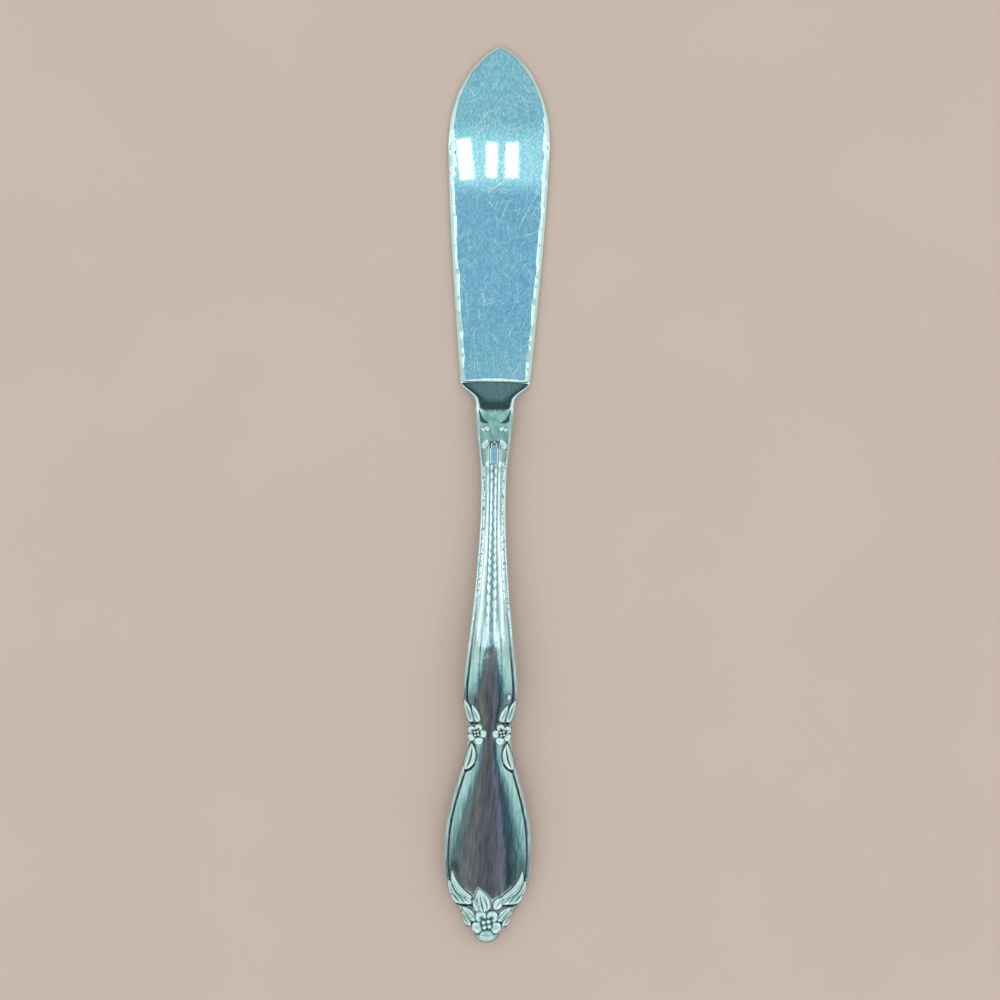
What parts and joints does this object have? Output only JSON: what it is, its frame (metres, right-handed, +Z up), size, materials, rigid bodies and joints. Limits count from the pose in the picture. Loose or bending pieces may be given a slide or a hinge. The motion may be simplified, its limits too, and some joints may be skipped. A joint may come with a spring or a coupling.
{
  "type": "butter knife",
  "caption": "Butter knife with a broad pointed blade and a slender arched hollow handle struck with reeds, a border, rosettes and leaves, for serving and spreading butter.",
  "frame": {"origin": "on the table, below the middle of the knife's overall length and width", "axes": "+X to the right across the blade seen from the front, +Y from the butt to the blade's tip, +Z up off the table, out of the front face"},
  "size_m": [0.0198, 0.175, 0.0074],
  "materials": {
    "steel": "polished",
    "solder": "satin",
    "cement": "matte"
  },
  "bodies": {
    "root": {"blade": "steel", "handle_front_shell": "steel", "handle_back_shell": "steel", "seam_solder": "solder", "handle_cement": "cement"}
  },
  "joints": []
}
